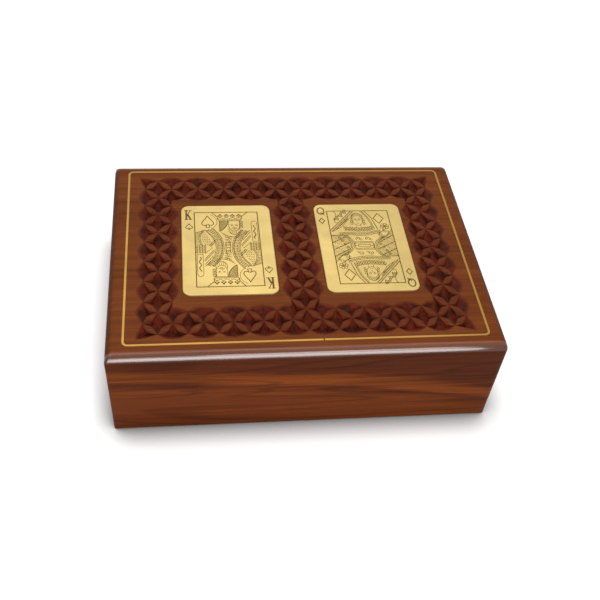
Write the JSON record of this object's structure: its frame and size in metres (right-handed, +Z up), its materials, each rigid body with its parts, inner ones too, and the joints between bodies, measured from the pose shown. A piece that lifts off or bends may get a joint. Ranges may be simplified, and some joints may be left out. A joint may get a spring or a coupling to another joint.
{
  "type": "playing card box with drawer",
  "caption": "Flat wooden box for playing cards with a chip-carved lid board, a brass line and brass card plates let into the top, and a felt-lined drawer that slides out of one end.",
  "frame": {"origin": "middle of the case's underside, on the surface that the box rests on", "axes": "+X along the box towards the drawer's front and knob, +Y across the box away from the plain near side, +Z up through the carved top"},
  "size_m": [0.187, 0.133, 0.0504],
  "materials": {
    "wood_top": "glossy clear lacquer over reddish-brown rosewood-like wood",
    "wood_wall": "glossy clear lacquer, streaked grain along the walls",
    "wood_base": "satin lacquer",
    "wood_drawer": "satin lacquer",
    "brass": "satin brushed, polished at the rims",
    "screw_steel": "plain bright steel",
    "felt": "short wool felt"
  },
  "bodies": {
    "case": {"top_panel": "wood_top", "front_wall": "wood_wall", "back_wall": "wood_wall", "end_wall": "wood_wall", "base_panel": "wood_base", "border_line": "brass", "king_plate": "brass", "queen_plate": "brass", "base_screws": "screw_steel"},
    "drawer": {"drawer_front": "wood_drawer", "drawer_side_near": "wood_drawer", "drawer_side_far": "wood_drawer", "drawer_back": "wood_drawer", "drawer_bottom": "wood_base", "drawer_divider": "wood_drawer", "lining_inner": "felt", "lining_outer": "felt", "drawer_pins": "screw_steel", "knob": "brass", "knob_screw": "brass"}
  },
  "joints": [
    {"name": "drawer_slide", "type": "slide", "parent": "case", "child": "drawer", "axis": [1, 0, 0], "range_m": [0, 0.135]}
  ]
}
